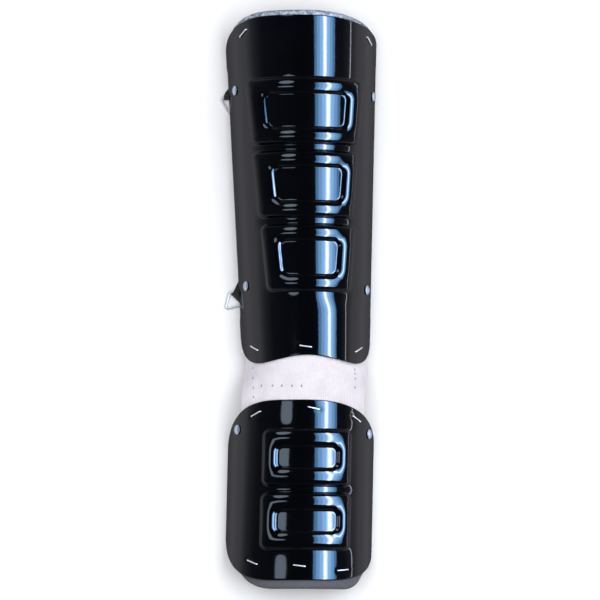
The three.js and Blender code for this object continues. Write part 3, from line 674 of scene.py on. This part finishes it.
def rivet_piece(name, g, degrees, along, dished):
    """A profile turned about the seat's normal: domed head, shank, flat tail."""
    seat, crown, side, out = seat_frame(g, degrees, along)
    under = tail_depth(g, 2 * RIVET_TAIL)
    s = np.linspace(1, 0, 18)[:, None]
    dome = np.hstack([RIVET_HEAD * s, SEAT_GAP + 0.5 + RIVET_DOME * (1 - s ** 2.4)])
    dome[:, 1] -= dished * RIVET_DISH * np.exp(-(dome[:, 0] / 1.5) ** 4)
    head = [(RIVET_SHANK, SEAT_GAP), (RIVET_HEAD - 0.3, SEAT_GAP),
            (RIVET_HEAD - 0.05, SEAT_GAP + 0.12), (RIVET_HEAD, SEAT_GAP + 0.3)]
    end = -under - RIVET_TAIL_THICK
    tail = [(0.0, end), (RIVET_TAIL - 0.3, end), (RIVET_TAIL, end + 0.25),
            (RIVET_TAIL, -under - 0.2), (RIVET_TAIL - 0.2, -under), (RIVET_SHANK, -under)]
    profile = np.concatenate([tail, head, dome])
    turns = np.linspace(0, 2 * np.pi, RIVET_SIDES, endpoint=False)
    spokes = np.cos(turns)[:, None] * crown + np.sin(turns)[:, None] * side
    inner = profile[1:-1]
    points = (seat + inner[:, None, :1] * spokes[None] + inner[:, None, 1:] * out).reshape(-1, 3)
    faces = grid_faces(len(inner), RIVET_SIDES, wrap_columns=True)
    poles = np.array([seat + profile[0, 1] * out, seat + profile[-1, 1] * out])
    points, faces = capped(points, faces, RIVET_SIDES, poles)
    faces = corner_lists(facing_out(points, faces))
    return make_piece(f"{name}_cap", points, faces, [name], "rivet_steel", sharp=45)


def ring_plan(along_share, out, drop, turn):
    """The ring's held side starts off the left edge and runs back under the shell."""
    edge = arch(SHIN, np.pi, along_share * SHIN.length)
    height = TAB_FLOOR + TAB_THICK + RING_GAP + RING_WIRE / 2
    start = np.array([edge[0] - out, edge[1] - drop, height])
    t = math.radians(turn)
    along = np.array([math.cos(t), math.sin(t), 0.0])
    away = np.array([along[1], -along[0], 0.0])
    reach = RING_SIDE * math.sqrt(3) / 2
    tilt = math.asin((height - RING_WIRE / 2 - TAB_FLOOR) / reach)
    return edge, start, along, away, tilt


def ring_piece(name, plan):
    """Round wire on a triangle with round corners, leaning from its tab to the surface."""
    _, start, along, away, tilt = plan
    lean = away * math.cos(tilt) - np.array([0.0, 0.0, math.sin(tilt)])
    up = np.cross(along, -lean)
    corners = [start, start + RING_SIDE * along,
               start + RING_SIDE / 2 * along + RING_SIDE * math.sqrt(3) / 2 * lean]
    points = rounded_path(corners, RING_CORNER, 8, closed=True)
    turns = np.linspace(0, 2 * np.pi, 20, endpoint=False)
    section = np.stack([np.cos(turns), np.sin(turns)], -1) * RING_WIRE / 2
    sections = np.tile(section, (len(points), 1, 1))
    mesh = swept(path_frames(points, up, True), sections, True)
    return make_piece(f"{name}_loop", *mesh, [name], "steel_wire", sharp=60)


def tab_piece(name, along_share, width, plan, rivet_angle, bulge):
    """Webbing down the shell's inner face, out over the surface and round the ring's wire.

    The bend and the run out are curves of the second order, the fold is an arc about the wire.
    """
    edge, start, along, away, _ = plan
    v = along_share * SHIN.length
    radius = float(half_width(SHIN, v) + depth(SHIN, v)) / 2
    top = math.pi - math.radians(rivet_angle) + TAB_ABOVE / radius
    j = np.linspace(0, 1, 21)
    side = (0.5 - j) * width
    under = -WALL - SEAT_GAP - FACET_ROOM - TAB_THICK / 2
    low = math.asin(TAB_BEND / float(depth(SHIN, v)))
    flap = np.stack([arch(SHIN, np.pi - a, v + side, under) for a in np.linspace(top, low, 22)])
    floor = TAB_FLOOR + TAB_THICK / 2
    straight = RING_CORNER * math.sqrt(3)
    held = start + lerp(straight + 0.2, RING_SIDE - straight - 0.2, j)[:, None] * along
    wrap = RING_WIRE / 2 + RING_GAP + TAB_THICK / 2
    lowest = held.copy()
    lowest[:, 2] = floor
    bend = flap[-1].copy()
    bend[:, 2] = floor
    push = np.array([-bulge, 0.0, 0.0]) * (1 - j[:, None])
    steps = np.linspace(0, 1, 16)[:, None, None]
    corner = lerp(bend, lowest, 0.45) + push
    corner[:, 2] = floor
    run = (1 - steps) ** 2 * bend + 2 * steps * (1 - steps) * corner + steps ** 2 * lowest
    knee = (1 - steps[1:]) ** 2 * flap[-1] + 2 * steps[1:] * (1 - steps[1:]) * bend + (
        steps[1:] ** 2 * run[3])
    turns = np.linspace(-90, 165, 18)[:, None, None]
    t = np.radians(turns)
    loop = held + wrap * (np.cos(t) * away + np.sin(t) * np.array([0.0, 0.0, 1.0]))
    middle_face = np.concatenate([flap, knee, run[4:], loop[1:]])
    du = np.gradient(middle_face, axis=0)
    dj = np.gradient(middle_face, axis=1)
    normal = np.cross(du, dj)
    normal /= np.linalg.norm(normal, axis=-1, keepdims=True)
    steps_long = np.cumsum(np.linalg.norm(du[:, 10], axis=-1))
    weave = TAB_RIB_HEIGHT * np.sin(j * width * 2 * np.pi / TAB_RIB)[None, :, None] * normal
    points, faces = closed_wall(middle_face + normal * TAB_THICK / 2 + weave,
                                middle_face - normal * TAB_THICK / 2 + weave)
    uv = np.stack(np.broadcast_arrays(j[None, :] * width, steps_long[:, None]), -1)
    uv = uv.reshape(-1, 2) * 0.001
    return make_piece(f"{name}_fold", points, faces, [name], "webbing",
                      uv=np.concatenate([uv, uv]), sharp=70)


# ---- Finishes

class Value:
    """A socket of a node tree. Arithmetic on it adds Math nodes."""

    def __init__(self, tree, socket):
        self.tree = tree
        self.socket = socket

    def math(self, operation, first, second=0.0):
        """A Math node on one or two values."""
        return self.tree.node("ShaderNodeMath", {"operation": operation}, {0: first, 1: second})

    def __add__(self, other):
        return self.math("ADD", self, other)

    def __sub__(self, other):
        return self.math("SUBTRACT", self, other)

    def __rsub__(self, other):
        return self.math("SUBTRACT", other, self)

    def __mul__(self, other):
        return self.math("MULTIPLY", self, other)

    def __pow__(self, other):
        return self.math("POWER", self, other)

    __radd__ = __add__
    __rmul__ = __mul__


class Tree:
    """A node tree whose nodes are made by one method."""

    def __init__(self, node_tree):
        self.node_tree = node_tree

    def node(self, kind, settings, inputs, output=0):
        """Any node: its type, its settings, its inputs' values or links, and the output taken."""
        node = self.node_tree.nodes.new(kind)
        for key, value in settings.items():
            if key == "stops":
                ramp = node.color_ramp
                while len(ramp.elements) < len(value):
                    ramp.elements.new(0.5)
                for element, (place, colour) in zip(ramp.elements, value):
                    element.position = place
                    element.color = (*colour, 1.0)
            else:
                setattr(node, key, value)
        for key, value in inputs.items():
            self.feed(node.inputs[key], value)
        return Value(self, node.outputs[output])

    def feed(self, socket, value):
        """A link into a socket, or a plain value set on it."""
        if isinstance(value, Value):
            self.node_tree.links.new(value.socket, socket)
        else:
            socket.default_value = value

    def coords(self, output="Object"):
        """Where on the piece a point lies."""
        return self.node("ShaderNodeTexCoord", {}, {}, output)

    def split(self, where):
        """The three shares of a place, each as a value."""
        first = self.node("ShaderNodeSeparateXYZ", {}, {0: where}, "X")
        outputs = first.socket.node.outputs
        return first, Value(self, outputs["Y"]), Value(self, outputs["Z"])


class Finish(Tree):
    """A material: one Principled shader and its constants."""

    def __init__(self, name, **constants):
        self.material = bpy.data.materials.new(name)
        self.material.use_nodes = True
        super().__init__(self.material.node_tree)
        self.shader = self.node_tree.nodes["Principled BSDF"]
        for key, value in constants.items():
            self.shader.inputs[key.replace("_", " ")].default_value = value

    def surface(self, name, value):
        """A value for one of the shader's inputs."""
        self.feed(self.shader.inputs[name], value)

    def noise(self, where, scale, detail=2.0, stretch=(1.0, 1.0, 1.0)):
        """Cloudy noise of a scale per metre, drawn out along an axis by a lesser stretch."""
        placed = self.node("ShaderNodeMapping", {}, {"Vector": where, "Scale": stretch})
        return self.node("ShaderNodeTexNoise", {},
                         {"Vector": placed, "Scale": scale, "Detail": detail}, "Fac")

    def mix(self, factor, first, second):
        """One colour run into another."""
        return self.node("ShaderNodeMix", {"data_type": "RGBA"},
                         {0: factor, 6: first, 7: second}, 2)

    def bump(self, height, distance, strength):
        """Small relief in the shading, its distance in metres."""
        self.surface("Normal", self.node(
            "ShaderNodeBump", {}, {"Height": height, "Distance": distance, "Strength": strength},
            "Normal"))


def clamp01(value):
    """Held between 0 and 1."""
    return value.math("MINIMUM", value.math("MAXIMUM", value, 0.0), 1.0)


def moulded_plastic():
    """Gloss black with a faint flow texture and fine handling marks along the leg."""
    f = Finish("moulded_plastic", Specular_IOR_Level=0.5)
    where = f.coords()
    marks = clamp01((f.noise(where, 900.0, 3.0, (1.0, 0.12, 1.0)) - 0.56) * 6)
    cloud = f.noise(where, 28.0, 3.0)
    f.surface("Roughness", 0.045 + cloud * 0.03 + marks * 0.03)
    f.surface("Base Color", f.mix(clamp01(cloud * 1.2 - 0.2), (0.0008, 0.0011, 0.0018, 1),
                                  (0.0018, 0.0021, 0.0034, 1)))
    f.bump(f.noise(where, 130.0, 1.0) + f.noise(where, 45.0, 1.0) * 1.5, 0.00012, 0.12)
    return f.material


# Height up the leg in metres, in the frame, from which the shin's liner has its glazed skin.
SKIN_FROM = 0.2745


def liner_foam():
    """Closed-cell foam: matte and speckled, with a glazed crinkled skin at the knee end, its pale
    silver-blue a painted reflection of the light, palest on the high crinkles.
    """
    f = Finish("liner_foam")
    where = f.coords()
    _, y, _ = f.split(where)
    skin = clamp01((y - SKIN_FROM) * 700)
    cells = f.noise(where, 1500.0, 2.0)
    patches = f.noise(where, 260.0, 3.0)
    flecks = clamp01((f.noise(where, 620.0, 2.0) - 0.52) * 9)
    plain = f.mix(patches, (0.062, 0.058, 0.062, 1), (0.1, 0.094, 0.1, 1))
    # Painted reflection: the glazed skin is coloured pale silver-blue, palest on its high
    # crinkles, in place of the light that it mirrors.
    glazed_sheen = f.mix(clamp01(patches * 4 - 1.4), (0.12, 0.15, 0.2, 1), (0.5, 0.56, 0.66, 1))
    glazed_sheen = f.mix(flecks * 0.8, glazed_sheen, (0.02, 0.025, 0.035, 1))
    f.surface("Base Color", f.mix(skin, plain, glazed_sheen))
    f.surface("Roughness", 0.82 - skin * 0.48 + cells * 0.1)
    f.bump(cells * 0.4 + patches * (0.4 + skin * 2.0), 0.0006, 0.7)
    return f.material


def elastic_web(holes):
    """White elastic: ribs along the leg and cross threads, their low threads painted darker as
    shade, and needle holes where sewn, painted dark as the shade in them.
    """
    f = Finish("elastic_web", Roughness=0.85, Sheen_Weight=0.15)
    u, v, _ = f.split(f.coords("UV"))
    rib = u.math("SINE", u * (2 * math.pi / (RIB * 0.001)))
    thread = v.math("SINE", v * (2 * math.pi / 0.0011) + rib * 1.2)
    weave = rib * 0.5 + thread * 0.3
    fuzz = f.noise(f.coords(), 1400.0, 2.0)
    cloud = f.noise(f.coords(), 60.0, 3.0)
    needle_hole_shade = None
    # Painted shade: each needle hole is coloured nearly black, for the shade inside it.
    for a, b in holes:
        far = ((u - a * 0.001) ** 2 + ((v - b * 0.001) * 0.7) ** 2) ** 0.5
        hole = clamp01(1.5 - far * 1300)
        needle_hole_shade = hole if needle_hole_shade is None else needle_hole_shade.math("MAXIMUM", needle_hole_shade, hole)
    # Painted shade: where the ribs and threads dip the cloth is coloured darker, and it is paler
    # on their crests.
    base = f.mix(clamp01(weave * 0.35 + 0.5), (0.6, 0.555, 0.6, 1), (0.83, 0.785, 0.83, 1))
    base = f.mix(clamp01(cloud * 1.6 - 0.55), base, (0.86, 0.82, 0.86, 1))
    f.surface("Base Color", f.mix(clamp01(needle_hole_shade) * 0.9, base, (0.1, 0.095, 0.12, 1)))
    f.bump(weave + fuzz * 0.8, 0.00022, 0.8)
    return f.material


def woven_webbing():
    """Black webbing with slanting picks, its high threads and worn spots paler brown, partly wear
    and partly a painted highlight.
    """
    f = Finish("woven_webbing", Roughness=0.9, Sheen_Weight=0.2)
    u, v, _ = f.split(f.coords("UV"))
    picks = u.math("SINE", (v + u.math("PINGPONG", u, 0.0016) * 0.7) * (2 * math.pi / 0.0015))
    wear_and_highlight = f.noise(f.coords(), 300.0, 2.0)
    # Partly wear, partly painted highlight: the high threads and the worn spots are coloured paler
    # brown.
    f.surface("Base Color", f.mix(clamp01(picks * 0.4 + wear_and_highlight - 0.35), (0.012, 0.011, 0.012, 1),
                                  (0.09, 0.075, 0.055, 1)))
    f.bump(picks * 0.5 + wear_and_highlight, 0.0003, 0.7)
    return f.material


def bright_steel(name, colour, roughness, metallic):
    """Plated steel, a little uneven, with a few dull spots."""
    f = Finish(name, Base_Color=(*colour, 1), Metallic=metallic, Roughness=roughness)
    dull = f.noise(f.coords(), 700.0, 3.0)
    f.surface("Roughness", roughness + dull * 0.08)
    f.surface("Base Color", f.mix(clamp01(dull * 3 - 1.6), (*colour, 1),
                                  (*(0.7 * c for c in colour), 1)))
    f.bump(dull, 0.00005, 0.3)
    return f.material


def pale_floor():
    """Matte and nearly white."""
    f = Finish("pale_floor", Base_Color=(0.93, 0.93, 0.94, 1), Roughness=0.95)
    return f.material


# ---- Camera, floor and lights

# The camera stands so far off, in metres, and leans so much towards the foot and to the left.
FAR = 4.0
TOWARDS_FOOT = math.radians(6.5)
TOWARDS_LEFT = math.radians(2.0)
TARGET = Vector((SHIFT[0] * 0.001, (282.0 + SHIFT[1]) * 0.001, 0.0))

camera = bpy.data.objects.new("camera", bpy.data.cameras.new("camera"))
bpy.context.scene.collection.objects.link(camera)
back = Vector((-math.sin(TOWARDS_LEFT), -math.sin(TOWARDS_FOOT), 0.0))
back.z = math.sqrt(1 - back.length_squared)
sight_up = (Vector((0, 1, 0)) - back * back.y).normalized()
right = sight_up.cross(back)
camera.location = TARGET + FAR * back
camera.rotation_mode = "QUATERNION"
camera.rotation_quaternion = Matrix((right, sight_up, back)).transposed().to_quaternion()
camera.data.sensor_width = 36.0
camera.data.lens = 240.0
camera.data.clip_start = 0.1
camera.data.clip_end = 50.0
bpy.context.scene.camera = camera

floor_mesh = bpy.data.meshes.new("floor")
floor_mesh.from_pydata([(-4, -4, -0.0003), (4, -4, -0.0003), (4, 4, -0.0003), (-4, 4, -0.0003)],
                       [], [(0, 1, 2, 3)])
floor = bpy.data.objects.new("floor", floor_mesh)
floor_mesh.materials.append(pale_floor())
bpy.context.scene.collection.objects.link(floor)
floor.visible_glossy = False


def area_light(name, place, aim, size, power, colour, glossy=True, diffuse=True,
               shape="RECTANGLE"):
    """A flat light at a place, facing the aim point, its second size along Y."""
    data = bpy.data.lights.new(name, "AREA")
    data.shape = shape
    data.size, data.size_y = size
    data.energy = power
    data.color = colour
    light = bpy.data.objects.new(name, data)
    away = (Vector(place) - Vector(aim)).normalized()
    up = (Vector((0, 1, 0)) - away * away.y).normalized()
    light.rotation_mode = "QUATERNION"
    light.rotation_quaternion = Matrix(
        (up.cross(away), up, away)).transposed().to_quaternion()
    light.location = place
    light.visible_glossy = glossy
    light.visible_diffuse = diffuse
    bpy.context.scene.collection.objects.link(light)
    return light


def at_angle(degrees, distance, y=0.0):
    """A place so far from the leg's middle line, at an angle to the right of straight above."""
    a = math.radians(degrees)
    return (distance * math.sin(a), y, distance * math.cos(a))


# The long soft box that the shells mirror: a white core that fades out to blue at its sides.
for wide, power, colour in (
        (1.06, 54.0, (0.22, 0.52, 1.0)), (0.8, 34.0, (0.28, 0.56, 1.0)),
        (0.5, 18.0, (0.4, 0.62, 1.0)), (0.2, 12.0, (0.86, 0.88, 1.0)),
        (0.1, 9.0, (1.0, 0.96, 0.96))):
    area_light(f"stripe_{int(wide * 100)}", at_angle(31.8, 2.0 - 0.02 / wide), (0, 0, 0),
               (wide, 2.2), power, colour, diffuse=False)
area_light("left_panel_low", at_angle(-20, 2.0, -0.2), (0, -0.2, 0), (0.6, 0.4), 2.2,
           (0.67, 0.82, 1.0), diffuse=False, shape="ELLIPSE")
area_light("left_panel_high", at_angle(-20, 2.0, 1.2), (0, 0.2, 0), (0.6, 1.0), 6.0,
           (0.67, 0.82, 1.0), diffuse=False, shape="ELLIPSE")
area_light("right_strip", at_angle(74, 2.2), (0, 0, 0), (0.05, 3.0), 4.6,
           (0.85, 0.85, 1.0), diffuse=False)
area_light("key", at_angle(30, 2.4), (0, 0, 0), (1.8, 2.2), 38.0, (1.0, 0.99, 0.98), glossy=False)
area_light("fill", at_angle(-25, 2.6), (0, 0, 0), (2.6, 2.6), 38.0, (0.97, 0.98, 1.0),
           glossy=False)
area_light("overhead", (0, 0, 2.4), (0, 0, 0), (4.0, 4.0), 34.0, (1.0, 1.0, 1.0), glossy=False)

# The room: dark overhead, a grey band round the horizon, duller again towards the ground, and
# brighter to the left and right than beyond the leg's two ends.
ROOM = ((0.0, (0.10, 0.10, 0.11)), (0.1, (0.15, 0.15, 0.165)), (0.27, (0.33, 0.33, 0.36)),
        (0.5, (0.34, 0.34, 0.37)), (0.62, (0.13, 0.135, 0.15)), (0.75, (0.03, 0.034, 0.045)),
        (1.0, (0.012, 0.016, 0.024)))
world = bpy.data.worlds.new("studio")
world.use_nodes = True
room = Tree(world.node_tree)
background = world.node_tree.nodes["Background"].inputs
sideways, _, upwards = room.split(room.coords("Generated"))
height = room.node("ShaderNodeMapRange", {}, {"Value": upwards, "From Min": -1.0})
room.feed(background["Color"], room.node("ShaderNodeValToRGB", {"stops": ROOM}, {"Fac": height}))
room.feed(background["Strength"], room.node(
    "ShaderNodeMapRange", {},
    {"Value": sideways.math("ABSOLUTE", sideways), "To Min": 0.25, "To Max": 2.3}))
bpy.context.scene.world = world
bpy.context.scene.view_settings.view_transform = "Standard"


# ---- The guard

PLASTIC = moulded_plastic()
FOAM_SKIN = liner_foam()
WEBBING = woven_webbing()
WIRE = bright_steel("plated_wire", (0.9, 0.91, 0.94), 0.26, 0.55)
# Plain plated steel, its steel-blue base colour a painted reflection of the bluish light.
RIVET_STEEL_PAINTED_BLUE = bright_steel("plated_rivet_painted_blue", (0.68, 0.77, 0.9), 0.26, 0.9)


def dress(piece, material):
    """One finish on the whole of a piece."""
    piece.data.materials.append(material)


dress(shell_piece(SHIN, "shin_moulding", "shin_shell", 262, 150), PLASTIC)
dress(shell_piece(INSTEP, "instep_moulding", "instep_shell", 190, 160), PLASTIC)
dress(liner_piece(SHIN, "shin_foam", "shin_liner", 150, 150), FOAM_SKIN)
dress(liner_piece(INSTEP, "instep_foam", "instep_liner", 100, 150), FOAM_SKIN)
elastic, needle_holes = web_piece("ankle_elastic", 260, 100)
dress(elastic, elastic_web(needle_holes))
for staple in STAPLES:
    dress(staple_piece(*staple), WIRE)
for rivet in RIVETS:
    dress(rivet_piece(*rivet, dished="shin_low" in rivet[0]), RIVET_STEEL_PAINTED_BLUE)
for tab, ring, share, width, out, drop, turn, rivet_angle, bulge in TABS:
    plan = ring_plan(share, out, drop, turn)
    dress(ring_piece(ring, plan), WIRE)
    dress(tab_piece(tab, share, width, plan, rivet_angle, bulge), WEBBING)
